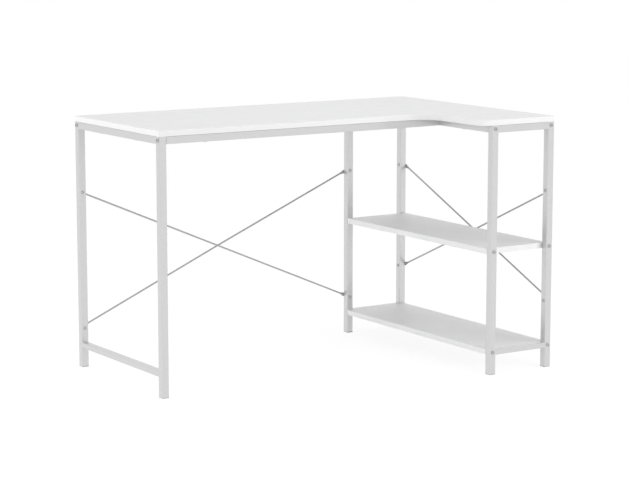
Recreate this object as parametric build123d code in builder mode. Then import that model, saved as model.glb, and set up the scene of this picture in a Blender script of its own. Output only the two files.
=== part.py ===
from build123d import *
import os
from math import hypot

# Corner desk: an L-shaped top and two shelves on a bolted frame of square tube.
# Millimetres. +X runs along the rear edge from left to right, +Y to the rear, +Z up.
# The origin is on the floor, under the middle of the assembled desk.

# Boards
desk_width = 1100.0  # top, left end to right end
desk_depth = 720.0  # top, rear edge to the front of the wing
desk_height = 700.0  # floor to the surface of the top
main_depth = 480.0  # top, rear edge to the front edge at the knees
wing_width = 250.0  # top, across the wing
board_thickness = 15.0
edge_band = 1.0  # plastic edging glued round every board
edge_round = 0.6  # eased arrises of the edging
inner_corner_radius = 70.0  # hollow curve where the front edge turns into the wing
wing_corner_radius = 35.0  # rounded corner of the wing beside the seat
board_corner_radius = 3.0  # eased corners of the boards
shelf_width = 210.0
upper_shelf_height = 348.0  # floor to the shelf's surface
lower_shelf_height = 70.0

# Frame
tube = 20.0  # square tube of the legs and rails
tube_wall = 1.2
tube_corner = 1.5  # outer corner radius of the tube
crossbar_height = 15.0  # flatter tube between the legs, level with the lower shelf
frame_inset = 1.0  # the frame stands this far in from the edges of the top
shelf_unit_width = 212.0  # narrow frames, outside to outside
tab_thickness = 2.5  # flat tab that ties the rear rail to the inner rear leg
tab_overlap = 40.0  # length of the tab on the rail
plug_length = 15.0  # threaded plug in the end of a loose rail

# Feet
foot_flange = 3.0
foot_flange_round = 1.0
foot_plug_height = 14.0
foot_plug_wall = 2.0

# Braces
rod_diameter = 5.0
eye_width = 10.0  # pressed end of a rod
eye_length = 14.0  # from the centre of its hole to where it starts to turn round again
press_thickness = 2.0  # steel left where the rod is pressed flat
press_run = 9.0  # length over which the rod goes from flat to round
rod_gap = 0.1  # between two rods where one passes over the other
rear_brace_high = 490.0  # bolt heights above the floor
rear_brace_low = 110.0
side_brace_high = 495.0
side_brace_low = 187.0
rivet_diameter = 2.5
rivet_head_diameter = 6.0
rivet_head_height = 1.0

# Fasteners
bolt_diameter = 6.0  # rail and shelf bolts
bolt_head_diameter = 10.5
bolt_head_height = 3.3
bolt_socket = 4.0  # across the flats
bolt_socket_depth = 2.0
brace_bolt_diameter = 4.0
brace_head_diameter = 9.5  # brace bolts and the sleeve nuts that they meet inside a leg
brace_head_height = 2.2
brace_socket = 3.0
brace_socket_depth = 1.4
sleeve_diameter = 5.5
sleeve_length = 14.0
thread_overlap = 6.0  # length of a brace bolt inside its sleeve nut
barrel_nut_diameter = 10.0
barrel_nut_height = 12.0
barrel_nut_setback = 30.0  # from the end of the shelf to the nut's centre
shelf_bolt_reach = 38.0  # length of a shelf bolt inside the shelf
screw_diameter = 4.0  # wood screws that hold the top down on the rails
screw_head_diameter = 8.0
screw_head_height = 2.4
screw_bite = 10.0  # length of a screw inside the top
screw_end_distance = 120.0  # from the end of a rail to its nearest screw
hole_gap = 0.3  # radial room round a bolt in a plain hole
slip = 0.1  # room round a thread, a plug or a barrel nut

# Reach of bolt heads and crossed rods beyond the edges of the top
head_reach = max(bolt_head_height - frame_inset, 0)
rod_crossing = 2 * rod_diameter + rod_gap
brace_reach = max(rod_crossing + rivet_head_height - frame_inset, 0)
rear_reach = max(brace_reach, tab_thickness + bolt_head_height - frame_inset)

# Edges of the top
left = -(desk_width + brace_reach - head_reach) / 2
right = left + desk_width
front = -(desk_depth + rear_reach - head_reach) / 2
rear = front + desk_depth
main_front = rear - main_depth
wing_left = right - wing_width

# Outer faces of the frame, and the centre lines of its legs and rails
left_face = left + frame_inset
right_face = right - frame_inset
front_face = front + frame_inset
rear_face = rear - frame_inset
main_face = main_front + frame_inset
inner_face = right_face - shelf_unit_width
half = tube / 2
x_left = left_face + half
x_inner = inner_face + half
x_right = right_face - half
y_rear = rear_face - half
y_main = main_face + half
y_front = front_face + half
frame_top = desk_height - board_thickness
z_rail = frame_top - half
z_crossbar = lower_shelf_height - crossbar_height / 2

# Shelves run from the rear legs to the front legs, flush with the inner legs
shelf_rear = rear_face - tube
shelf_front = front_face + tube
shelf_length = shelf_rear - shelf_front
shelf_centre = (inner_face + shelf_width / 2, (shelf_rear + shelf_front) / 2)
z_upper = upper_shelf_height - board_thickness / 2
z_lower = lower_shelf_height - board_thickness / 2

# Sections and holes
bore = tube - 2 * tube_wall
bore_corner = max(tube_corner - tube_wall, tube_wall / 4)
plug_size = bore - 2 * slip
plug_corner = bore_corner + slip
bolt_hole = bolt_diameter + 2 * hole_gap
bolt_thread = bolt_diameter + 2 * slip
brace_hole = sleeve_diameter + 2 * hole_gap
screw_hole = screw_diameter + 2 * hole_gap
screw_pilot = screw_diameter + 2 * slip

# Directions, for planes that face along the desk's axes
leftwards = (-1, 0, 0)
rightwards = (1, 0, 0)
forwards = (0, -1, 0)
rearwards = (0, 1, 0)
downwards = (0, 0, -1)

os.makedirs("parts", exist_ok=True)


def keep(piece, name):
    """Label a finished piece and write it out."""
    piece.label = name
    export_step(piece, f"parts/{name}.step")


# Top


def top_outline(inset):
    """L-shaped outline of the top, drawn in from its finished edge by inset."""
    corners = {
        (left + inset, rear - inset): board_corner_radius - inset,
        (right - inset, rear - inset): board_corner_radius - inset,
        (right - inset, front + inset): board_corner_radius - inset,
        (wing_left + inset, front + inset): wing_corner_radius - inset,
        (wing_left + inset, main_front + inset): inner_corner_radius + inset,
        (left + inset, main_front + inset): board_corner_radius - inset,
    }
    with BuildSketch() as outline:
        with BuildLine():
            Polyline(*corners, close=True)
        make_face()
        for corner, radius in corners.items():
            fillet(outline.vertices().sort_by_distance(corner)[0], radius)
    return outline.sketch


def outer_arrises(band):
    """Outer edges of a board's edging, round its top and its underside."""
    flats = band.faces().filter_by(Axis.Z)
    return [edge for flat in flats for edge in flat.outer_wire().edges()]


def two_along(first, last):
    """Places of the two screws in a rail that runs from first to last."""
    return (first + screw_end_distance, last - screw_end_distance)


left_rail_screws = [(x_left, y, z_rail) for y in two_along(y_main + half, y_rear - half)]
front_rail_screws = [(x, y_main, z_rail) for x in two_along(x_left + half, x_inner - half)]
rear_rail_screws = [(x, y_rear, z_rail) for x in two_along(x_left + half, x_inner - half)]
inner_rail_screws = [(x_inner, y, z_rail) for y in two_along(y_front + half, y_rear - half)]
outer_rail_screws = [(x_right, y, z_rail) for y in two_along(y_front + half, y_rear - half)]
top_screws = (
    left_rail_screws + front_rail_screws + rear_rail_screws + inner_rail_screws + outer_rail_screws
)

core_outline = top_outline(edge_band)
finished_outline = top_outline(0)

with BuildPart() as desktop:
    with BuildSketch(Plane.XY.offset(frame_top)):
        add(core_outline)
    extrude(amount=board_thickness)
    with Locations(*[(x, y, frame_top) for x, y, z in top_screws]):
        Hole(screw_pilot / 2, depth=screw_bite + slip)
keep(desktop.part, "desktop")

with BuildPart() as desktop_edge_band:
    with BuildSketch(Plane.XY.offset(frame_top)):
        add(finished_outline)
        add(core_outline, mode=Mode.SUBTRACT)
    extrude(amount=board_thickness)
    fillet(outer_arrises(desktop_edge_band), edge_round)
keep(desktop_edge_band.part, "desktop_edge_band")

# Shelves

shelf_bolt_columns = (x_inner, x_right)


def shelf_bolt_seats(z, rear_y, front_y):
    """Planes across the bolts at one shelf: two facing the rear and two facing the front."""
    rear_seats = [Plane((x, rear_y, z), z_dir=rearwards) for x in shelf_bolt_columns]
    front_seats = [Plane((x, front_y, z), z_dir=forwards) for x in shelf_bolt_columns]
    return rear_seats + front_seats


def barrel_nut_places(underside):
    """Centres of the barrel nuts' pockets on the underside of one shelf."""
    rows = (shelf_rear - barrel_nut_setback, shelf_front + barrel_nut_setback)
    return [(x, y, underside) for x in shelf_bolt_columns for y in rows]


def make_shelf(name, z):
    """One shelf with its edging, bored at both ends for bolts that meet barrel nuts."""
    underside = z - board_thickness / 2
    end_planes = shelf_bolt_seats(z, shelf_rear, shelf_front)
    nut_pocket_depth = (board_thickness + barrel_nut_height) / 2
    with BuildPart() as shelf:
        with BuildSketch(Plane.XY.offset(underside)):
            with Locations(shelf_centre):
                RectangleRounded(
                    shelf_width - 2 * edge_band,
                    shelf_length - 2 * edge_band,
                    board_corner_radius - edge_band,
                )
        extrude(amount=board_thickness)
        with Locations(*end_planes):
            Hole(bolt_hole / 2, depth=shelf_bolt_reach + slip)
        with Locations(*barrel_nut_places(underside)):
            Hole(barrel_nut_diameter / 2 + slip, depth=nut_pocket_depth)
    keep(shelf.part, name)

    with BuildPart() as band:
        with BuildSketch(Plane.XY.offset(underside)):
            with Locations(shelf_centre):
                RectangleRounded(shelf_width, shelf_length, board_corner_radius)
                RectangleRounded(
                    shelf_width - 2 * edge_band,
                    shelf_length - 2 * edge_band,
                    board_corner_radius - edge_band,
                    mode=Mode.SUBTRACT,
                )
        extrude(amount=board_thickness)
        fillet(outer_arrises(band), edge_round)
        with Locations(*end_planes):
            Hole(bolt_hole / 2, depth=shelf_bolt_reach + slip)
    keep(band.part, f"{name}_edge_band")


make_shelf("upper_shelf", z_upper)
make_shelf("lower_shelf", z_lower)

# Tubes


def make_tube(name, section, length, height=tube, holes=()):
    """One tube that starts at the plane of its section, drilled through both walls at each hole."""
    with BuildPart() as bar:
        with BuildSketch(section):
            RectangleRounded(tube, height, tube_corner)
            RectangleRounded(bore, height - 2 * tube_wall, bore_corner, mode=Mode.SUBTRACT)
        extrude(amount=length)
        for place, diameter in holes:
            with Locations(place):
                Hole(diameter / 2)
    keep(bar.part, name)


def along_x(x, y, z):
    """Section plane of a tube that runs to the right from this point."""
    return Plane((x, y, z), x_dir=(0, 1, 0), z_dir=rightwards)


def along_y(x, y, z):
    """Section plane of a tube that runs to the rear from this point."""
    return Plane((x, y, z), x_dir=leftwards, z_dir=rearwards)


def drilled(x, y, direction, heights, diameter):
    """Holes through a leg at these heights."""
    return [(Plane((x, y, z), z_dir=direction), diameter) for z in heights]


frame_heights = (z_rail, z_upper, z_lower)
rear_brace_heights = (rear_brace_high, rear_brace_low)
side_brace_heights = (side_brace_high, side_brace_low)

legs = {
    "left_rear": (
        (x_left, y_rear),
        drilled(x_left, y_rear, rightwards, [z_rail], bolt_hole)
        + drilled(x_left, y_rear, rearwards, rear_brace_heights, brace_hole),
    ),
    "left_front": (
        (x_left, y_main),
        drilled(x_left, y_main, rightwards, [z_rail], bolt_hole),
    ),
    "rear_inner": (
        (x_inner, y_rear),
        drilled(x_inner, y_rear, rearwards, frame_heights, bolt_hole)
        + drilled(x_inner, y_rear, rearwards, rear_brace_heights, brace_hole),
    ),
    "rear_outer": (
        (x_right, y_rear),
        drilled(x_right, y_rear, rearwards, frame_heights, bolt_hole)
        + drilled(x_right, y_rear, rightwards, side_brace_heights, brace_hole),
    ),
    "front_inner": (
        (x_inner, y_front),
        drilled(x_inner, y_front, rearwards, frame_heights, bolt_hole),
    ),
    "front_outer": (
        (x_right, y_front),
        drilled(x_right, y_front, rearwards, frame_heights, bolt_hole)
        + drilled(x_right, y_front, rightwards, side_brace_heights, brace_hole),
    ),
}
for name, ((x, y), holes) in legs.items():
    make_tube(f"{name}_leg", Plane((x, y, foot_flange)), frame_top - foot_flange, holes=holes)

end_rail_length = y_rear - y_main - tube
long_rail_length = x_inner - x_left - tube
wing_rail_length = y_rear - y_front - tube
narrow_rail_length = x_right - x_inner - tube


def screw_holes(places):
    """Upright holes through a rail for the screws that hold the top."""
    return [(place, screw_hole) for place in places]


make_tube(
    "left_top_rail",
    along_y(x_left, y_main + half, z_rail),
    end_rail_length,
    holes=screw_holes(left_rail_screws),
)
make_tube(
    "front_rail",
    along_x(x_left + half, y_main, z_rail),
    long_rail_length,
    holes=screw_holes(front_rail_screws),
)
make_tube(
    "rear_rail",
    along_x(x_left + half, y_rear, z_rail),
    long_rail_length,
    holes=screw_holes(rear_rail_screws),
)
make_tube(
    "wing_inner_rail",
    along_y(x_inner, y_front + half, z_rail),
    wing_rail_length,
    holes=screw_holes(inner_rail_screws)
    + drilled(x_inner, y_main, rightwards, [z_rail], bolt_hole),
)
make_tube(
    "wing_outer_rail",
    along_y(x_right, y_front + half, z_rail),
    wing_rail_length,
    holes=screw_holes(outer_rail_screws),
)
make_tube("rear_frame_top_rail", along_x(x_inner + half, y_rear, z_rail), narrow_rail_length)
make_tube("front_frame_top_rail", along_x(x_inner + half, y_front, z_rail), narrow_rail_length)

make_tube(
    "left_crossbar",
    along_y(x_left, y_main + half, z_crossbar),
    end_rail_length,
    height=crossbar_height,
)
make_tube(
    "rear_frame_crossbar",
    along_x(x_inner + half, y_rear, z_crossbar),
    narrow_rail_length,
    height=crossbar_height,
)
make_tube(
    "front_frame_crossbar",
    along_x(x_inner + half, y_front, z_crossbar),
    narrow_rail_length,
    height=crossbar_height,
)

# Tab that carries the right end of the rear rail behind the inner rear leg
with BuildPart() as rear_rail_tab:
    with BuildSketch(Plane((x_inner, rear_face, z_rail), x_dir=leftwards, z_dir=rearwards)):
        with Locations((tab_overlap / 2, 0)):
            RectangleRounded(tube + tab_overlap, tube, tube_corner)
        Circle(bolt_hole / 2, mode=Mode.SUBTRACT)
    extrude(amount=tab_thickness)
keep(rear_rail_tab.part, "rear_rail_tab")

# Threaded plugs, each flush with the end of a loose rail and reaching into it
plug_planes = [
    along_x(x_left + half, y_main, z_rail),
    along_x(x_left + half, y_rear, z_rail),
    along_x(x_inner - half - plug_length, y_main, z_rail),
    along_y(x_inner, y_front + half, z_rail),
    along_y(x_right, y_front + half, z_rail),
    along_y(x_inner, y_rear - half - plug_length, z_rail),
    along_y(x_right, y_rear - half - plug_length, z_rail),
]
with BuildPart() as rail_end_plugs:
    with BuildSketch(*plug_planes):
        RectangleRounded(plug_size, plug_size, plug_corner)
        Circle(bolt_thread / 2, mode=Mode.SUBTRACT)
    extrude(amount=plug_length)
keep(rail_end_plugs.part, "rail_end_plugs")

# Feet


def make_foot(name, x, y):
    """Plastic cap under a leg: a flange on the floor and a hollow plug inside the tube."""
    with BuildPart() as foot:
        with BuildSketch(Plane((x, y, 0))):
            RectangleRounded(tube, tube, tube_corner)
        extrude(amount=foot_flange)
        fillet(foot.edges().group_by(Axis.Z)[0], foot_flange_round)
        with BuildSketch(Plane((x, y, foot_flange))):
            RectangleRounded(plug_size, plug_size, plug_corner)
            hollow = plug_size - 2 * foot_plug_wall
            Rectangle(hollow, hollow, mode=Mode.SUBTRACT)
        extrude(amount=foot_plug_height)
    keep(foot.part, f"{name}_foot")


for name, ((x, y), holes) in legs.items():
    make_foot(name, x, y)

# Braces


# Round section of a rod, as four arcs that answer to the four sides of its pressed end
with BuildSketch() as rod_section:
    with BuildLine():
        for corner in (45, 135, 225, 315):
            CenterArc((0, 0), rod_diameter / 2, corner, 90)
    make_face()


def pressed_rod(width, drop, bow=0):
    """Round rod pressed into a drilled eye at each end.

    It spans the diagonal of width and drop, and lies along X with the flat side of its eyes on
    Z = 0. Its middle stands off by bow, so that it can pass over another rod.
    """
    span = hypot(width, drop)
    axis = rod_diameter / 2
    eye_end = span / 2 - eye_length
    round_end = eye_end - press_run
    with BuildPart() as rod:
        with BuildSketch(Plane.YZ):
            with Locations((0, axis + bow)):
                add(rod_section.sketch)
        extrude(amount=hypot(round_end, bow), dir=(round_end, 0, -bow))
        with BuildSketch(Plane.YZ.offset(round_end)):
            with Locations((0, axis)):
                add(rod_section.sketch)
        with BuildSketch(Plane.YZ.offset(eye_end)):
            with Locations((0, press_thickness / 2)):
                Rectangle(eye_width, press_thickness)
        loft()
        with BuildSketch():
            with Locations((eye_end + eye_length / 2, 0)):
                Rectangle(eye_length, eye_width)
            with Locations((span / 2, 0)):
                Circle(eye_width / 2)
        extrude(amount=press_thickness)
        mirror(about=Plane.YZ)
        with Locations((-span / 2, 0), (span / 2, 0)):
            Hole(brace_hole / 2)
        with Locations((0, 0)):
            Hole(rivet_diameter / 2 + slip)
    return rod.part


rear_brace_width = x_inner - x_left
rear_brace_drop = rear_brace_high - rear_brace_low
rear_brace_centre = (
    (x_left + x_inner) / 2,
    rear_face,
    (rear_brace_high + rear_brace_low) / 2,
)
side_brace_width = y_rear - y_front
side_brace_drop = side_brace_high - side_brace_low
side_brace_centre = (
    right_face,
    (y_rear + y_front) / 2,
    (side_brace_high + side_brace_low) / 2,
)
over_the_other = rod_diameter + rod_gap
straight_rear_rod = pressed_rod(rear_brace_width, rear_brace_drop)
bowed_rear_rod = pressed_rod(rear_brace_width, rear_brace_drop, over_the_other)
straight_side_rod = pressed_rod(side_brace_width, side_brace_drop)
bowed_side_rod = pressed_rod(side_brace_width, side_brace_drop, over_the_other)

with BuildPart() as rear_brace_falling:
    with Locations(Plane(rear_brace_centre, (rear_brace_width, 0, -rear_brace_drop), rearwards)):
        add(straight_rear_rod)
keep(rear_brace_falling.part, "rear_brace_falling")

with BuildPart() as rear_brace_rising:
    with Locations(Plane(rear_brace_centre, (rear_brace_width, 0, rear_brace_drop), rearwards)):
        add(bowed_rear_rod)
keep(rear_brace_rising.part, "rear_brace_rising")

with BuildPart() as side_brace_falling:
    with Locations(Plane(side_brace_centre, (0, -side_brace_width, -side_brace_drop), rightwards)):
        add(straight_side_rod)
keep(side_brace_falling.part, "side_brace_falling")

with BuildPart() as side_brace_rising:
    with Locations(Plane(side_brace_centre, (0, -side_brace_width, side_brace_drop), rightwards)):
        add(bowed_side_rod)
keep(side_brace_rising.part, "side_brace_rising")

# Rivet through the two rods where they cross, with a low head on each side
with BuildPart() as rivet:
    with BuildSketch():
        Circle(rivet_diameter / 2)
    extrude(amount=rod_crossing)
    with BuildSketch(Plane.XY.offset(-rivet_head_height), Plane.XY.offset(rod_crossing)):
        Circle(rivet_head_diameter / 2)
    extrude(amount=rivet_head_height)

with BuildPart() as brace_rivets:
    with Locations(
        Plane(rear_brace_centre, z_dir=rearwards),
        Plane(side_brace_centre, z_dir=rightwards),
    ):
        add(rivet.part)
keep(brace_rivets.part, "brace_rivets")

# Bolts, nuts and screws


def headed_pin(diameter, length, head_diameter, head_height):
    """Shank hanging below Z = 0 with a domed head standing on it."""
    rim = head_height / 3
    crown = head_diameter / 2 - (head_height - rim)
    with BuildPart() as pin:
        with BuildSketch(Plane.XZ):
            with BuildLine():
                Polyline(
                    (0, head_height),
                    (0, -length),
                    (diameter / 2, -length),
                    (diameter / 2, 0),
                    (head_diameter / 2, 0),
                    (head_diameter / 2, rim),
                )
                TangentArc((head_diameter / 2, rim), (crown, head_height), tangent=(0, 1))
                Line((crown, head_height), (0, head_height))
            make_face()
        revolve(axis=Axis.Z)
    return pin.part


def socket_bolt(diameter, length, head_diameter, head_height, socket, socket_depth):
    """Domed bolt with a hexagon socket in its head."""
    blank = headed_pin(diameter, length, head_diameter, head_height)
    with BuildPart() as bolt:
        add(blank)
        with BuildSketch(Plane.XY.offset(head_height)):
            RegularPolygon(socket / 2, 6, major_radius=False)
        extrude(amount=-socket_depth, mode=Mode.SUBTRACT)
    return bolt.part


rail_bolt_seats = [
    Plane((left_face, y_rear, z_rail), z_dir=leftwards),
    Plane((left_face, y_main, z_rail), z_dir=leftwards),
    Plane((x_inner, front_face, z_rail), z_dir=forwards),
    Plane((x_right, front_face, z_rail), z_dir=forwards),
    Plane((x_inner, rear_face + tab_thickness, z_rail), z_dir=rearwards),
    Plane((x_right, rear_face, z_rail), z_dir=rearwards),
    Plane((x_inner + half, y_main, z_rail), z_dir=rightwards),
]
rail_bolt = socket_bolt(
    bolt_diameter,
    tube + plug_length,
    bolt_head_diameter,
    bolt_head_height,
    bolt_socket,
    bolt_socket_depth,
)
with BuildPart() as rail_bolts:
    with Locations(*rail_bolt_seats):
        add(rail_bolt)
keep(rail_bolts.part, "rail_bolts")

shelf_bolt = socket_bolt(
    bolt_diameter,
    tube + shelf_bolt_reach,
    bolt_head_diameter,
    bolt_head_height,
    bolt_socket,
    bolt_socket_depth,
)
with BuildPart() as shelf_bolts:
    for z in (z_upper, z_lower):
        with Locations(*shelf_bolt_seats(z, rear_face, front_face)):
            add(shelf_bolt)
keep(shelf_bolts.part, "shelf_bolts")

with BuildPart() as shelf_barrel_nuts:
    for z in (z_upper, z_lower):
        with Locations(*barrel_nut_places(z)):
            Cylinder(barrel_nut_diameter / 2, barrel_nut_height)
        with Locations(*shelf_bolt_seats(z, rear_face, front_face)):
            Hole(bolt_thread / 2, depth=tube + shelf_bolt_reach + barrel_nut_diameter)
keep(shelf_barrel_nuts.part, "shelf_barrel_nuts")

rear_brace_bolt_places = [(x, z) for x in (x_left, x_inner) for z in rear_brace_heights]
side_brace_bolt_places = [(y, z) for y in (y_front, y_rear) for z in side_brace_heights]
brace_bolt_seats = [
    Plane((x, rear_face - tube, z), z_dir=forwards) for x, z in rear_brace_bolt_places
] + [Plane((right_face - tube, y, z), z_dir=leftwards) for y, z in side_brace_bolt_places]
brace_nut_seats = [
    Plane((x, rear_face + press_thickness, z), z_dir=rearwards) for x, z in rear_brace_bolt_places
] + [
    Plane((right_face + press_thickness, y, z), z_dir=rightwards)
    for y, z in side_brace_bolt_places
]
brace_bolt = socket_bolt(
    brace_bolt_diameter,
    tube + press_thickness - sleeve_length + thread_overlap,
    brace_head_diameter,
    brace_head_height,
    brace_socket,
    brace_socket_depth,
)
with BuildPart() as brace_bolts:
    with Locations(*brace_bolt_seats):
        add(brace_bolt)
keep(brace_bolts.part, "brace_bolts")

sleeve_nut = socket_bolt(
    sleeve_diameter,
    sleeve_length,
    brace_head_diameter,
    brace_head_height,
    brace_socket,
    brace_socket_depth,
)
with BuildPart() as brace_nuts:
    with Locations(*brace_nut_seats):
        add(sleeve_nut)
    with BuildSketch(*brace_nut_seats):
        Circle(brace_bolt_diameter / 2 + slip)
    extrude(amount=-sleeve_length, mode=Mode.SUBTRACT)
keep(brace_nuts.part, "brace_nuts")

desktop_screw = headed_pin(
    screw_diameter, tube + screw_bite, screw_head_diameter, screw_head_height
)
with BuildPart() as desktop_screws:
    with Locations(*[Plane((x, y, frame_top - tube), z_dir=downwards) for x, y, z in top_screws]):
        add(desktop_screw)
keep(desktop_screws.part, "desktop_screws")
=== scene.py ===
# %% [markdown]
# # A corner desk, dressed in Blender
#
# The desk is an L-shaped white board on a bolted frame of light grey square tube. Two shelves are
# bolted between the legs under its short wing, and thin crossed rods keep it from swaying. The
# boards, tubes, rods and fasteners come from a measured CAD model, loaded here as a frame that never
# moves. This lesson sets up the camera and the studio, gives every surface its finish, and models
# what is finer than in the CAD model: the domes and sockets of the bolts, rivets, screw heads and
# welds. Lengths are in metres.

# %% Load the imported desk
import math

import bmesh
import bpy
from mathutils import Matrix, Vector


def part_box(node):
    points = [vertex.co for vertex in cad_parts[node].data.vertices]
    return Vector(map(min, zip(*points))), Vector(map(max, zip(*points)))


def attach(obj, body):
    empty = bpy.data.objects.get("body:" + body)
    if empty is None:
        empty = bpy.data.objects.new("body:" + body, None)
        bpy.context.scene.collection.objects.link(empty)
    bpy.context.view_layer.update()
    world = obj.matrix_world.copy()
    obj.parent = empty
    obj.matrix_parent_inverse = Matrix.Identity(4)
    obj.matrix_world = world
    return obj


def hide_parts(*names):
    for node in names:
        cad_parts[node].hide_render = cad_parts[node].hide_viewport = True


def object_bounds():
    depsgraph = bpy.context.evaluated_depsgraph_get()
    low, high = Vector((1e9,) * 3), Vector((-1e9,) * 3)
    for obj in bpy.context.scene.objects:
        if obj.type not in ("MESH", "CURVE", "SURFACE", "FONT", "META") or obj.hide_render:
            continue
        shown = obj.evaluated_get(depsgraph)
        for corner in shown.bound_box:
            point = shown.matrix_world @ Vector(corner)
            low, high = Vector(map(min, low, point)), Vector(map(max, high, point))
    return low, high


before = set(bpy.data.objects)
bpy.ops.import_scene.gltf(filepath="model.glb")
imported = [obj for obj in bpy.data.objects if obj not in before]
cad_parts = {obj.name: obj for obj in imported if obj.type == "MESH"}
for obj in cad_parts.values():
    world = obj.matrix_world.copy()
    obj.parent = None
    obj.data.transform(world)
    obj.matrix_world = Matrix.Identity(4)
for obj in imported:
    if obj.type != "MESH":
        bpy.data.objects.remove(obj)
cad_low, cad_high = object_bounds()
desk_middle = (cad_low + cad_high) / 2
print("loaded", len(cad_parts), "CAD pieces; the desk measures", tuple(cad_high - cad_low), "m")

# %% [markdown]
# ## Camera
#
# The photograph was taken from the front left through a long lens, about six metres away and not far
# above the height of the top, so the desk's parallel edges hardly converge. A lens shift could keep
# the legs perfectly upright in the picture, but it would push the desk off centre in every other
# view, so the camera is tilted down a little instead.

# %% Camera
top_low, top_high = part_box("desktop_edge_band")
left_rear_corner = Vector((top_low.x, top_high.y, top_high.z))
corner_to_eye = Vector((-2.602, -5.216, 0.570))
turn_right = math.radians(33.0)
tilt_down = math.radians(9.24)
lens_length = 121.3  # millimetres, as Blender counts it for a sensor 36 mm wide
farthest_seen = 200

camera_data = bpy.data.cameras.new("photo_camera")
camera_data.lens = lens_length
camera_data.clip_end = farthest_seen
camera = bpy.data.objects.new("photo_camera", camera_data)
camera.location = left_rear_corner + corner_to_eye
camera.rotation_euler = (math.pi / 2 - tilt_down, 0, -turn_right)
bpy.context.scene.collection.objects.link(camera)
bpy.context.scene.camera = camera
bpy.context.scene.view_settings.view_transform = "Standard"
print("camera", round((camera.location - desk_middle).length, 2), "m from the middle of the desk")

# %% [markdown]
# ## Node helpers
#
# A finish is a small network of nodes. Setting one up by hand takes a line for the node, a line for
# each value and a line for each link. Two helpers shorten that: one adds a node with its values set,
# the other joins an output to an input.


# %% Node helpers
def add_node(tree, kind, sockets=None, **settings):
    """Add a node, set its properties by name and its input sockets by their labels."""
    node = tree.nodes.new(kind)
    for setting, value in settings.items():
        setattr(node, setting, value)
    for socket, value in (sockets or {}).items():
        node.inputs[socket].default_value = value
    return node


def join(tree, output, target):
    """Link an output socket to an input socket."""
    tree.links.new(output, target)


print("helpers: add_node, join")

# %% [markdown]
# ## What is seen and what gives light
#
# The ground of the photograph is pure white, but a dome and a floor that shone as white as that would
# also flood the desk with light. A Light Path node tells the two uses apart: the camera and the
# reflections look at one shader, and light that bounces on its way to the desk comes from another.


# %% What is seen and what gives light
def seen_rays(tree):
    """1 where the camera, a reflection or a clear piece looks at a surface, 0 where light bounces."""
    path = add_node(tree, "ShaderNodeLightPath")
    seen = path.outputs["Is Camera Ray"]
    for ray in ("Is Glossy Ray", "Is Transmission Ray"):
        either = add_node(tree, "ShaderNodeMath", operation="MAXIMUM")
        join(tree, seen, either.inputs[0])
        join(tree, path.outputs[ray], either.inputs[1])
        seen = either.outputs[0]
    return seen


def light_or_show(tree, lighting, seen, output):
    """Lead one shader to the output where light bounces, and another where the surface is seen."""
    mix = add_node(tree, "ShaderNodeMixShader")
    join(tree, seen_rays(tree), mix.inputs["Fac"])
    join(tree, lighting.outputs[0], mix.inputs[1])
    join(tree, seen.outputs[0], mix.inputs[2])
    join(tree, mix.outputs[0], output.inputs["Surface"])


print("helpers: seen_rays, light_or_show")

# %% [markdown]
# ## Sky dome
#
# The desk stands in a white studio with soft light from everywhere. The dome gives a third of that
# light. To the camera and in reflections it shows as plain white.

# %% Sky dome
white = (1, 1, 1, 1)
white_strength = 1
dome_strength = 0.34

world = bpy.data.worlds.new("studio_dome")
bpy.context.scene.world = world
world.use_nodes = True
sky = world.node_tree
sky.nodes.clear()
light_or_show(
    sky,
    lighting=add_node(sky, "ShaderNodeBackground", {"Color": white, "Strength": dome_strength}),
    seen=add_node(sky, "ShaderNodeBackground", {"Color": white, "Strength": white_strength}),
    output=add_node(sky, "ShaderNodeOutputWorld"),
)
print("sky dome at", dome_strength)

# %% [markdown]
# ## Floor
#
# The floor is a disc. What the camera sees of it is a white glow with some ordinary shading added,
# which keeps the desk's shadow. The disc ends where the lamps still light it well, so that its edge is
# as white as the dome behind it. A larger floor would grow darker towards its far edge.

# %% Floor
floor_reach = 2.4
floor_sides = 96
floor_bounce = (0.62, 0.62, 0.62, 1)
floor_shade = (0.2, 0.2, 0.2, 1)
floor_glow = 0.87

floor_finish = bpy.data.materials.new("studio_floor")
floor_finish.use_nodes = True
ground = floor_finish.node_tree
ground.nodes.clear()
shade = add_node(ground, "ShaderNodeBsdfDiffuse", {"Color": floor_shade})
glow = add_node(ground, "ShaderNodeEmission", {"Color": white, "Strength": floor_glow})
shaded_glow = add_node(ground, "ShaderNodeAddShader")
join(ground, shade.outputs[0], shaded_glow.inputs[0])
join(ground, glow.outputs[0], shaded_glow.inputs[1])
light_or_show(
    ground,
    lighting=add_node(ground, "ShaderNodeBsdfDiffuse", {"Color": floor_bounce}),
    seen=shaded_glow,
    output=add_node(ground, "ShaderNodeOutputMaterial"),
)

floor_shape = bmesh.new()
bmesh.ops.create_circle(floor_shape, cap_ends=True, segments=floor_sides, radius=floor_reach)
floor_mesh = bpy.data.meshes.new("studio_floor")
floor_shape.to_mesh(floor_mesh)
floor_shape.free()
floor_mesh.materials.append(floor_finish)
floor = bpy.data.objects.new("studio_floor", floor_mesh)
bpy.context.scene.collection.objects.link(floor)
print("floor", 2 * floor_reach, "m across, at the height of the feet")

# %% [markdown]
# ## Soft lamps
#
# Two large soft lamps, low on the left and low at the front right, make upright edges as bright as
# the top but leave the hollow of the L in half shade. A weaker one lights the back, and one overhead
# lifts the top but not the shelves under it. They stay out of the picture and out of reflections, so
# that the lacquer mirrors an even white and no lamp.


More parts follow.
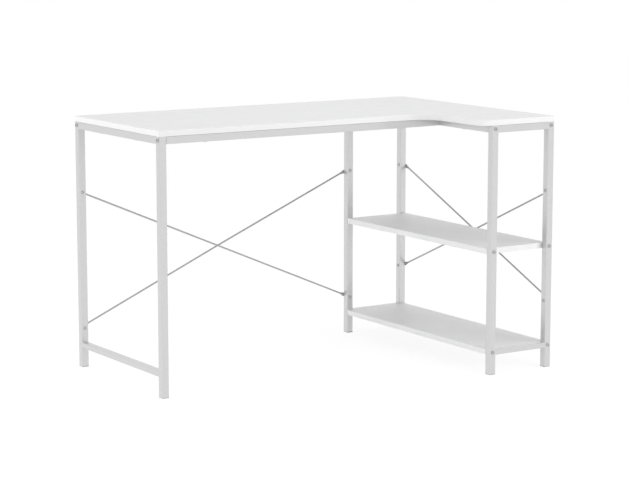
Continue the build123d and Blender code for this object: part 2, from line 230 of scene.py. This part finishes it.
# %% Soft lamps
def soft_lamp(name, direction, distance, size, power):
    """Square area lamp that looks at the middle of the desk from this direction."""
    data = bpy.data.lights.new(name, "AREA")
    data.size = size
    data.energy = power
    lamp = bpy.data.objects.new(name, data)
    outward = Vector(direction).normalized()
    lamp.location = desk_middle + outward * distance
    lamp.rotation_euler = outward.to_track_quat("Z", "Y").to_euler()
    lamp.visible_camera = False
    lamp.visible_glossy = False
    bpy.context.scene.collection.objects.link(lamp)
    print("lamp:", name, tuple(round(place, 2) for place in lamp.location), power, "W")


soft_lamp("left_softbox", direction=(-0.96, 0.1, 0.15), distance=7, size=3, power=288)
soft_lamp("front_softbox", direction=(0.4, -0.88, 0.2), distance=7, size=6, power=362)
soft_lamp("rear_softbox", direction=(0.66, 0.74, 0.08), distance=7, size=4, power=110)
soft_lamp("overhead_softbox", direction=(0, 0, 1), distance=3, size=3, power=33)

# %% [markdown]
# ## Patterns
#
# Real finishes are never one flat value. Paint has a faint orange peel, foil on board has a fine
# pearl, and plating is cloudy. All of these come from noise that reads Object coordinates in metres,
# so a pattern keeps its real size on every piece. One noise can drive a colour, a plain number such
# as the roughness, and a relief.

# %% Patterns
# Noise runs from 0 to 1, but most of it lies between these two.
noise_low = 0.3
noise_high = 0.7


def grain(tree, size, detail=2, stretch=(1, 1, 1)):
    """Noise with blobs of this size in metres, drawn out along the axes by stretch."""
    place = add_node(tree, "ShaderNodeTexCoord")
    turn = add_node(tree, "ShaderNodeMapping", {"Scale": [1 / factor for factor in stretch]})
    noise = add_node(tree, "ShaderNodeTexNoise", {"Scale": 1 / size, "Detail": detail})
    join(tree, place.outputs["Object"], turn.inputs["Vector"])
    join(tree, turn.outputs["Vector"], noise.inputs["Vector"])
    return noise.outputs["Fac"]


def tones(tree, pattern, dark, light):
    """Colours between a dark and a light one, following a pattern."""
    ramp = add_node(tree, "ShaderNodeValToRGB")
    stops = zip(ramp.color_ramp.elements, (noise_low, noise_high), (dark, light))
    for stop, position, colour in stops:
        stop.position = position
        stop.color = (*colour, 1)
    join(tree, pattern, ramp.inputs["Fac"])
    return ramp.outputs["Color"]


def levels(tree, pattern, low, high):
    """Plain numbers between low and high, following a pattern."""
    spread = add_node(
        tree,
        "ShaderNodeMapRange",
        {"From Min": noise_low, "From Max": noise_high, "To Min": low, "To Max": high},
    )
    join(tree, pattern, spread.inputs["Value"])
    return spread.outputs["Result"]


def relief(tree, pattern, depth, strength):
    """Bump of this depth in metres, following a pattern."""
    bump = add_node(tree, "ShaderNodeBump", {"Strength": strength, "Distance": depth})
    join(tree, pattern, bump.inputs["Height"])
    return bump.outputs["Normal"]


print("helpers: grain, tones, levels, relief")

# %% [markdown]
# ## Starting and completing a finish
#
# Every finish begins as a Principled shader with the values that are the same all over the surface,
# and ends with three patterns linked to its colour, its roughness and its normal. It is kept under
# the name that the record gives to its material slot.

# %% Starting and completing a finish
shader_name = "Principled BSDF"
finishes = {}


def start_finish(slot, **values):
    """Start the material of a slot with these values on its shader; returns its node tree."""
    material = bpy.data.materials.new(slot)
    material.use_nodes = True
    tree = material.node_tree
    for socket, value in values.items():
        tree.nodes[shader_name].inputs[socket].default_value = value
    finishes[slot] = material
    print("finish:", slot)
    return tree


def complete_finish(tree, colour, roughness, normal):
    """Link three patterns to the shader of a finish."""
    shader = tree.nodes[shader_name]
    join(tree, colour, shader.inputs["Base Color"])
    join(tree, roughness, shader.inputs["Roughness"])
    join(tree, normal, shader.inputs["Normal"])


print("helpers: start_finish, complete_finish")

# %% [markdown]
# ## White board
#
# The top and the shelves are particle board faced with a white melamine foil. Pressed foil has a
# pearl of about a millimetre that breaks up reflections, and under it the chips show as very faint
# clouds. Noise of two sizes gives both, with a satin sheen.

# %% White board
tree = start_finish("white_board", IOR=1.5)
pearl = grain(tree, size=0.0009, detail=3)
clouds = grain(tree, size=0.05, detail=4)
complete_finish(
    tree,
    colour=tones(tree, clouds, dark=(0.83, 0.832, 0.835), light=(0.86, 0.86, 0.858)),
    roughness=levels(tree, pearl, low=0.4, high=0.52),
    normal=relief(tree, pearl, depth=0.00004, strength=0.35),
)

# %% [markdown]
# ## Edging
#
# A one-millimetre strip of white plastic is glued round every board. It is whiter and smoother than
# the foil, and the scraper that trims it leaves long shallow waves. They are noise drawn out four
# times along the level axes, which needs no map of the strip.

# %% Edging
tree = start_finish("edge_band", IOR=1.46)
waves = grain(tree, size=0.006, detail=2, stretch=(4, 4, 1))
speckle = grain(tree, size=0.0006)
complete_finish(
    tree,
    colour=tones(tree, waves, dark=(0.87, 0.87, 0.87), light=(0.9, 0.9, 0.9)),
    roughness=levels(tree, speckle, low=0.3, high=0.4),
    normal=relief(tree, waves, depth=0.0001, strength=0.15),
)

# %% [markdown]
# ## Frame lacquer
#
# The tubes have a pale silver-grey lacquer that mirrors softly: the legs show the rods and the shelves
# beside them. A plain grey paint would look chalky here, and a pure metal like chrome, so the shader
# is mostly metallic and a little of it is paint, which darkens where the light doesn't reach. Very
# fine flakes and an orange peel of about two millimetres break up the reflections.

# %% Frame lacquer
tree = start_finish("frame_paint", Metallic=0.8)
flakes = grain(tree, size=0.0004, detail=1)
peel = grain(tree, size=0.0022, detail=1)
complete_finish(
    tree,
    colour=tones(tree, flakes, dark=(0.645, 0.646, 0.648), light=(0.67, 0.67, 0.67)),
    roughness=levels(tree, flakes, low=0.26, high=0.34),
    normal=relief(tree, peel, depth=0.00002, strength=0.08),
)

# %% [markdown]
# ## Rod finish
#
# The crossed rods are drawn wire under the same kind of lacquer, but thinner. Their tone is set darker
# than the frame's, which is painted shade: thin glossy rods look darker than the tubes. On so thin a
# rod the lacquer gathers unevenly, so a mottle of about a millimetre drives its tone and its gloss.

# %% Rod finish
tree = start_finish("brace_paint", Metallic=0.9)
mottle = grain(tree, size=0.0012, detail=3)
complete_finish(
    tree,
    # painted shade: a darker copy of the frame's tone, for the darker look of thin glossy rods
    colour=tones(tree, mottle, dark=(0.42, 0.422, 0.426), light=(0.5, 0.5, 0.5)),
    roughness=levels(tree, mottle, low=0.24, high=0.36),
    normal=relief(tree, mottle, depth=0.00003, strength=0.2),
)

# %% [markdown]
# ## Plated fasteners
#
# Bolts, sleeve nuts and rivets are steel with a grey nickel plating. Plating is cloudy, so its tone
# and its gloss drift together over a few millimetres. A finer noise gives the skin of drawn wire.

# %% Plated fasteners
tree = start_finish("plated_fastener", Metallic=1.0)
plating = grain(tree, size=0.0025, detail=4)
drawn_skin = grain(tree, size=0.0005)
complete_finish(
    tree,
    colour=tones(tree, plating, dark=(0.46, 0.46, 0.465), light=(0.58, 0.58, 0.58)),
    roughness=levels(tree, plating, low=0.22, high=0.38),
    normal=relief(tree, drawn_skin, depth=0.00002, strength=0.3),
)

# %% [markdown]
# ## Bright zinc
#
# Screws, barrel nuts and the plugs in the rail ends are bright zinc, which is bluish with a trace of
# yellow where the passivation is thicker. One noise drives colour and gloss, so the two agree, and a
# finer one gives the crystals of the coating.

# %% Bright zinc
tree = start_finish("zinc_insert", Metallic=1.0)
passivation = grain(tree, size=0.004, detail=3)
crystals = grain(tree, size=0.0006)
complete_finish(
    tree,
    colour=tones(tree, passivation, dark=(0.5, 0.52, 0.55), light=(0.64, 0.63, 0.58)),
    roughness=levels(tree, passivation, low=0.25, high=0.42),
    normal=relief(tree, crystals, depth=0.00002, strength=0.3),
)

# %% [markdown]
# ## Feet
#
# Each leg stands on a cap of moulded plastic, toned to the lacquer so that it hardly shows. It has
# the matt grain of a spark-eroded mould, and faint scuffs from the floor. A fine noise makes the
# first, in relief and gloss, and a coarse one the second, in tone.

# %% Feet
tree = start_finish("foot_plastic", IOR=1.49)
mould_grain = grain(tree, size=0.0007, detail=2)
scuffs = grain(tree, size=0.008, detail=4)
complete_finish(
    tree,
    colour=tones(tree, scuffs, dark=(0.58, 0.58, 0.58), light=(0.66, 0.66, 0.66)),
    roughness=levels(tree, mould_grain, low=0.45, high=0.6),
    normal=relief(tree, mould_grain, depth=0.00005, strength=0.4),
)

# %% [markdown]
# ## Dress the CAD pieces
#
# Each CAD piece arrives with one material slot, named for its finish in the record. The slot keeps
# its place and only its material changes, so the mesh is never touched.

# %% Dress the CAD pieces
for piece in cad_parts.values():
    for material_slot in piece.material_slots:
        material_slot.material = finishes[material_slot.material.name.split(".")[0]]
print("dressed", len(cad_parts), "CAD pieces")

# %% [markdown]
# ## Telling fasteners apart
#
# The CAD model groups like fasteners in one piece. Their places could be typed in again here, but
# then they would drift apart from the model. It is safer to read them. The first step is to merge the
# piece's loose triangles in a copy, and to gather the vertices of each separate solid by walking
# along its edges.

# %% Telling fasteners apart
same_place = 1e-6


def separate_solids(node):
    """Vertex positions of each separate solid in a CAD piece, in a steady order."""
    shape = bmesh.new()
    shape.from_mesh(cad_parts[node].data)
    bmesh.ops.remove_doubles(shape, verts=shape.verts, dist=same_place)
    waiting = set(shape.verts)
    solids = []
    for first in shape.verts:
        if first not in waiting:
            continue
        waiting.remove(first)
        reached = [first]
        for vertex in reached:
            for edge in vertex.link_edges:
                neighbour = edge.other_vert(vertex)
                if neighbour in waiting:
                    waiting.remove(neighbour)
                    reached.append(neighbour)
        solids.append([vertex.co.copy() for vertex in reached])
    shape.free()
    return solids


print("helper: separate_solids, which takes vertices within", same_place, "m as one")

# %% [markdown]
# ## Measuring fasteners
#
# A fastener is measured along its longest axis, with the height and the radius of every vertex. The
# widest ring is the rim of the head, which says which way the head points.

# %% Measuring fasteners
rim_share = 0.99
mm_per_m = 1000


def along_and_round(points):
    """Middle of a turned solid, its long axis, and each vertex as (height, radius) from the middle."""
    low = Vector(min(point[axis] for point in points) for axis in range(3))
    high = Vector(max(point[axis] for point in points) for axis in range(3))
    along = max(range(3), key=lambda axis: (high - low)[axis])
    middle = (low + high) / 2
    rings = []
    for point in points:
        offset = point - middle
        height = offset[along]
        offset[along] = 0
        rings.append((height, offset.length))
    axis = Vector((0, 0, 0))
    axis[along] = 1
    return middle, axis, rings


def measure_headed(points):
    """Seat, outward direction and sizes of a bolt, nut or screw, read from its vertices."""
    middle, axis, rings = along_and_round(points)
    head_radius = max(radius for height, radius in rings)
    rim = [height for height, radius in rings if radius > rim_share * head_radius]
    outward = 1 if sum(rim) > 0 else -1
    seat = min(outward * height for height in rim)
    top = max(outward * height for height, radius in rings)
    tip = min(outward * height for height, radius in rings)
    shank = [radius for height, radius in rings if outward * height < tip + same_place]
    return {
        "seat": middle + axis * outward * seat,
        "direction": axis * outward,
        "head_radius": head_radius,
        "head_height": top - seat,
        "shank_radius": max(shank),
        "shank_length": seat - tip,
    }


headed = {
    node: [measure_headed(points) for points in separate_solids(node)]
    for node in ("rail_bolts", "shelf_bolts", "brace_bolts", "brace_nuts", "desktop_screws")
}
for node, found in headed.items():
    head_width = 2 * found[0]["head_radius"] * mm_per_m
    print(node, len(found), "heads", round(head_width, 2), "mm across")

# %% [markdown]
# ## From bmesh to piece
#
# Every new piece ends the same way: faces turned outwards, round stretches shaded smooth, sharp
# edges kept, finish and slot set, and the piece tied to the desk. The mesh holds its place, so the
# object stays at the origin like a CAD piece.

# %% From bmesh to piece
sharp_angle = math.radians(32)


def finish_piece(shape, name, slot, stands_for=None):
    """Make an object of a bmesh, and let it stand for a CAD piece where one is named."""
    bmesh.ops.recalc_face_normals(shape, faces=shape.faces)
    mesh = bpy.data.meshes.new(name)
    shape.to_mesh(mesh)
    shape.free()
    mesh.shade_smooth()
    mesh.set_sharp_from_angle(angle=sharp_angle)
    mesh.materials.append(finishes[slot])
    piece = bpy.data.objects.new(name, mesh)
    bpy.context.scene.collection.objects.link(piece)
    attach(piece, "root")
    if stands_for:
        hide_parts(stands_for)
    print("piece:", name, len(mesh.polygons), "faces")


def stand_on(seat, direction):
    """Matrix that takes a shape built on Z = 0, facing +Z, to a seat that faces a direction."""
    is_level = abs(direction.z) < same_place
    turn = direction.to_track_quat("Z", "Y" if is_level else "X")
    return Matrix.Translation(seat) @ turn.to_matrix().to_4x4()


print("helpers: finish_piece, stand_on")

# %% [markdown]
# ## Spinning a profile
#
# A bolt starts life as a turned blank. In bmesh that is a profile of a few vertices, spun a full turn
# round Z. The profile has square steps, and the bevel operator then rounds the rings that are rounded
# on the real blank.

# %% Spinning a profile
facets = 48


def spin_profile(shape, profile):
    """Spin points (radius, height) a full turn round Z into a surface."""
    corners = [shape.verts.new((radius, 0, height)) for radius, height in profile]
    lines = [shape.edges.new(pair) for pair in zip(corners, corners[1:])]
    bmesh.ops.spin(
        shape,
        geom=corners + lines,
        cent=(0, 0, 0),
        axis=(0, 0, 1),
        angle=2 * math.pi,
        steps=facets,
        use_merge=True,
    )
    bmesh.ops.remove_doubles(shape, verts=shape.verts, dist=same_place)


def ring(shape, radius, height):
    """Edges that run round Z at this radius and height."""

    def is_on(vertex):
        beside = abs(vertex.co.xy.length - radius)
        above = abs(vertex.co.z - height)
        return beside < same_place and above < same_place

    return [edge for edge in shape.edges if all(is_on(vertex) for vertex in edge.verts)]


def round_ring(shape, radius, height, offset, segments):
    """Bevel one ring of a turned shape."""
    bmesh.ops.bevel(
        shape,
        geom=ring(shape, radius, height),
        offset=offset,
        offset_type="OFFSET",
        affect="EDGES",
        segments=segments,
        profile=0.5,
        material=-1,
    )


print("helpers: spin_profile, ring, round_ring, with", facets, "facets round a turn")

# %% [markdown]
# ## Turned blanks
#
# All bolts, sleeve nuts and screws share one blank: a domed head with an eased lower rim, and a shank
# with a chamfered tip. The middle of the head stays open, because the socket goes there next.

# %% Turned blanks
dome_share = 2 / 3
dome_segments = 6
lip_share = 1 / 16
lip_segments = 2
tip_share = 1 / 5


def turned_blank(shape, size, mouth_radius):
    """Domed head and shank of one fastener, left open at the mouth of its socket."""
    head, height = size["head_radius"], size["head_height"]
    shank, length = size["shank_radius"], size["shank_length"]
    profile = [
        (mouth_radius, height),
        (head, height),
        (head, 0),
        (shank, 0),
        (shank, -length),
        (0, -length),
    ]
    spin_profile(shape, profile)
    round_ring(shape, head, height, offset=height * dome_share, segments=dome_segments)
    round_ring(shape, head, 0, offset=height * lip_share, segments=lip_segments)
    round_ring(shape, shank, -length, offset=shank * tip_share, segments=1)
    return ring(shape, mouth_radius, height)


print("helper: turned_blank")

# %% [markdown]
# ## Sockets and recesses
#
# A Boolean cut would leave long thin triangles on the dome. Instead the outline of the recess is laid
# inside the ring at the mouth as a loop of plain edges, divided until it has as many edges as the
# ring, and bridged to it. The outline is then extruded down, drawn in a little, and closed with a
# floor. A hexagon is a circle of six edges. A cross is a square with an arm extruded from each side.

# %% Sockets and recesses
hexagon_sides = 6
hexagon_corner = 2 / math.sqrt(3)  # width over corners for a width of 1 over flats


def edges_of(vertices):
    """Edges that meet these vertices, each once and in a steady order."""
    return list(dict.fromkeys(edge for vertex in vertices for edge in vertex.link_edges))


def hexagon(shape, flats, height):
    """Loop of edges of a hexagon, at this height."""
    outline = bmesh.ops.create_circle(
        shape,
        segments=hexagon_sides,
        radius=flats / 2 * hexagon_corner,
        matrix=Matrix.Translation((0, 0, height)),
    )
    return edges_of(outline["verts"])


def cross(shape, arm_width, span, height):
    """Loop of edges of a cross, at this height."""
    square = bmesh.ops.create_grid(
        shape,
        x_segments=1,
        y_segments=1,
        size=arm_width / 2,
        matrix=Matrix.Translation((0, 0, height)),
    )
    corners = list(square["verts"])
    sides = edges_of(corners)
    for side in sides:
        outward = ((side.verts[0].co + side.verts[1].co) * Vector((1, 1, 0))).normalized()
        arm = bmesh.ops.extrude_edge_only(shape, edges=[side])["geom"]
        tips = [part for part in arm if isinstance(part, bmesh.types.BMVert)]
        bmesh.ops.translate(shape, verts=tips, vec=outward * (span - arm_width) / 2)
        corners.extend(tips)
    bmesh.ops.delete(shape, geom=sides, context="EDGES")
    return edges_of(corners)


def sink(shape, mouth, outline, depth, draw_in):
    """Join a loop of edges to the ring at a mouth, and sink it to a floor at this depth."""
    cuts = len(mouth) // len(outline) - 1
    divided = bmesh.ops.subdivide_edges(shape, edges=outline, cuts=cuts)["geom"]
    rim = [part for part in divided if isinstance(part, bmesh.types.BMEdge)]
    bmesh.ops.bridge_loops(shape, edges=mouth + rim)
    walls = bmesh.ops.extrude_edge_only(shape, edges=rim)["geom"]
    floor_loop = [part for part in walls if isinstance(part, bmesh.types.BMVert)]
    bmesh.ops.translate(shape, verts=floor_loop, vec=(0, 0, -depth))
    bmesh.ops.scale(shape, verts=floor_loop, vec=(draw_in, draw_in, 1))
    bmesh.ops.edgeloop_fill(shape, edges=[edge for edge in shape.edges if edge.is_boundary])


print("helpers: edges_of, hexagon, cross, sink")

# %% [markdown]
# ## One pattern on every seat
#
# Fasteners of one kind are all alike. So one is modelled at the origin, and a copy of its mesh goes
# to every seat that was measured. All the copies together become one piece, as in the CAD model.


# %% One pattern on every seat
def as_mesh(shape, name):
    """Plain mesh of a bmesh, for copying."""
    mesh = bpy.data.meshes.new(name)
    shape.to_mesh(mesh)
    shape.free()
    return mesh


def on_every_seat(pattern, seats):
    """Bmesh with a copy of a mesh on each seat, which is a place and a direction."""
    together = bmesh.new()
    for seat, direction in seats:
        before = len(together.verts)
        together.from_mesh(pattern)
        together.verts.ensure_lookup_table()
        copied = together.verts[before:]
        bmesh.ops.transform(together, matrix=stand_on(seat, direction), verts=copied)
    bpy.data.meshes.remove(pattern)
    return together


def seats_of(node):
    """Place and direction of each head of a CAD piece."""
    return [(size["seat"], size["direction"]) for size in headed[node]]


print("helpers: as_mesh, on_every_seat, seats_of")

# %% [markdown]
# ## Bolts and sleeve nuts
#
# The rail and shelf bolts and both halves of the brace fasteners have button heads with a hexagon
# socket. A narrow chamfer leads from the dome into the socket. One function makes all four sets,
# because they differ only in size.

# %% Bolts and sleeve nuts
chamfer_share = 1 / 20


def socket_heads(name, node, flats, depth):
    """Fasteners with a hexagon socket, in place of one CAD piece."""
    size = headed[node][0]
    chamfer = flats * chamfer_share
    shape = bmesh.new()
    mouth = turned_blank(shape, size, mouth_radius=flats / 2 * hexagon_corner + chamfer)
    outline = hexagon(shape, flats, size["head_height"] - chamfer)
    sink(shape, mouth, outline, depth - chamfer, draw_in=1)
    heads = on_every_seat(as_mesh(shape, name), seats_of(node))
    finish_piece(heads, name, "plated_fastener", node)


socket_heads("rail_bolt_set", "rail_bolts", flats=0.004, depth=0.002)
socket_heads("shelf_bolt_set", "shelf_bolts", flats=0.004, depth=0.002)
socket_heads("brace_bolt_set", "brace_bolts", flats=0.003, depth=0.0014)
socket_heads("brace_nut_set", "brace_nuts", flats=0.003, depth=0.0014)

# %% [markdown]
# ## Screws
#
# The screws that hold the top down have pan heads with a cross recess, which narrows towards its
# floor so that a driver centres itself. The same blank serves, with a cross in its mouth and a recess
# that is drawn in.

# %% Screws
recess_span = 0.004
recess_arm_width = recess_span / 4
recess_mouth_share = 0.56
recess_depth_share = 0.7
recess_draw_in = 0.6

screw_size = headed["desktop_screws"][0]
screw_head_height = screw_size["head_height"]
screw = bmesh.new()
screw_mouth = turned_blank(screw, screw_size, mouth_radius=recess_span * recess_mouth_share)
recess = cross(screw, recess_arm_width, recess_span, screw_head_height)
sink(screw, screw_mouth, recess, screw_head_height * recess_depth_share, recess_draw_in)
screws = on_every_seat(as_mesh(screw, "desktop_screw"), seats_of("desktop_screws"))
finish_piece(screws, "desktop_screw_set", "zinc_insert", "desktop_screws")

# %% [markdown]
# ## Rivets
#
# A rivet ties each pair of rods where they cross. It has a low domed head on both sides, so its
# profile is drawn from one end to the other, spun, and rounded at both heads.

# %% Rivets
rivet_dome_share = 0.8
rivet_dome_segments = 5

measured_rivets = [along_and_round(points) for points in separate_solids("brace_rivets")]
rivet_seats = [(middle, axis) for middle, axis, rings in measured_rivets]
_, _, rivet_rings = measured_rivets[-1]  # the rivets are alike, so any one gives the sizes
rivet_end = max(height for height, radius in rivet_rings)
rivet_head = max(radius for height, radius in rivet_rings)
rim_heights = [height for height, radius in rivet_rings if radius > rim_share * rivet_head]
rivet_seat = min(height for height in rim_heights if height > 0)
rivet_shank = min(radius for height, radius in rivet_rings if abs(height - rivet_seat) < same_place)

half_profile = [
    (0, rivet_end),
    (rivet_head, rivet_end),
    (rivet_head, rivet_seat),
    (rivet_shank, rivet_seat),
]
other_half = [(radius, -height) for radius, height in reversed(half_profile)]
rivet_dome = (rivet_end - rivet_seat) * rivet_dome_share
rivet = bmesh.new()
spin_profile(rivet, half_profile + other_half)
for end in (rivet_end, -rivet_end):
    round_ring(rivet, rivet_head, end, offset=rivet_dome, segments=rivet_dome_segments)
rivets = on_every_seat(as_mesh(rivet, "brace_rivet"), rivet_seats)
finish_piece(rivets, "brace_rivet_set", "plated_fastener", "brace_rivets")

# %% [markdown]
# ## Weld beads
#
# The three upright frames are welded. In the inner corners the weld is left as it was laid, a bead
# with a ripple for each drop of metal. It could be a bump in the lacquer, but a bump leaves the
# outline straight, so it is modelled. A bead starts as a small disc, and each ripple is two short
# extrusions, the first swelling and the second shrinking. Most of its round is sunk in the tubes, so
# that a low ripple shows in the corner.

# %% Weld beads
bead_radius = 0.0016
bead_sides = 12
bead_taper = 0.6
ripple_pitch = 0.0016
ripple_swell = 1.14


def lay_bead(shape, start, end):
    """Rippled bead from start to end, thinner where it starts and stops."""
    ripples = round((end - start).length / ripple_pitch)
    stride = (end - start) / (2 * ripples)
    disc = bmesh.ops.create_circle(
        shape,
        cap_ends=True,
        segments=bead_sides,
        radius=bead_radius * bead_taper,
        matrix=stand_on(start, stride.normalized()),
    )
    cap = disc["verts"][0].link_faces[0]
    growth = [ripple_swell, 1 / ripple_swell] * ripples
    growth[0] = ripple_swell / bead_taper
    growth[-1] = bead_taper
    for step, factor in enumerate(growth, 1):
        grown = bmesh.ops.extrude_face_region(shape, geom=[cap])["geom"]
        cap = next(part for part in grown if isinstance(part, bmesh.types.BMFace))
        bmesh.ops.translate(shape, verts=cap.verts, vec=stride)
        middle = Matrix.Translation(-(start + stride * step))
        bmesh.ops.scale(shape, verts=cap.verts, vec=(factor, factor, factor), space=middle)


print("helper: lay_bead, with a ripple every", ripple_pitch * mm_per_m, "mm")

# %% [markdown]
# ## Flush welds
#
# On the show faces the gap that a leg's round corner leaves beside a rail is filled and ground flush,
# so that no joint shows there. A thin wedge does that: a triangle in the gap, extruded upwards.

# %% Flush welds
frame_corner = 0.0015  # radius of the tubes' corners
along_x = 0
along_y = 1


def point_at(along, end, side, height):
    """Point given by its place along a rail that runs along X or Y, across it and up."""
    return Vector((end, side, height)) if along == along_x else Vector((side, end, height))


def fill_corner(shape, along, end, into_leg, side, into_rail, low, high):
    """Wedge that fills the gap at a leg's round corner, flush with the face at this side."""
    corner = point_at(along, end, side, low)
    on_face = point_at(along, end + into_leg * frame_corner, side, low)
    on_joint = point_at(along, end, side + into_rail * frame_corner, low)
    wedge = shape.faces.new([shape.verts.new(place) for place in (corner, on_face, on_joint)])
    raised = bmesh.ops.extrude_face_region(shape, geom=[wedge])["geom"]
    top = [part for part in raised if isinstance(part, bmesh.types.BMVert)]
    bmesh.ops.translate(shape, verts=top, vec=(0, 0, high - low))


print("helpers: point_at, fill_corner")

# %% [markdown]
# ## Welding the frames
#
# Each welded rail meets a leg at both ends. A crossbar has a bead above and below it. A top rail has
# one below it only, because the board lies on it. One upright bead ties the tab to the rear rail.

# %% Welding the frames
welded_rails = {
    "left_top_rail": along_y,
    "left_crossbar": along_y,
    "rear_frame_top_rail": along_x,
    "rear_frame_crossbar": along_x,
    "front_frame_top_rail": along_x,
    "front_frame_crossbar": along_x,
}
beads = bmesh.new()
fills = bmesh.new()
for node, along in welded_rails.items():
    low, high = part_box(node)
    across = along_y if along == along_x else along_x
    bead_heights = [low.z] if node.endswith("top_rail") else [low.z, high.z]
    for end, into_leg in ((low[along], -1), (high[along], 1)):
        for height in bead_heights:
            start = point_at(along, end, low[across] + frame_corner, height)
            stop = point_at(along, end, high[across] - frame_corner, height)
            lay_bead(beads, start, stop)
        for side, into_rail in ((low[across], 1), (high[across], -1)):
            fill_corner(fills, along, end, into_leg, side, into_rail, low.z, high.z)

tab_low, tab_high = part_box("rear_rail_tab")
tab_foot = Vector((tab_low.x, tab_low.y, tab_low.z + frame_corner))
tab_head = Vector((tab_low.x, tab_low.y, tab_high.z - frame_corner))
lay_bead(beads, tab_foot, tab_head)
finish_piece(beads, "weld_beads", "frame_paint")
finish_piece(fills, "weld_fills", "frame_paint")
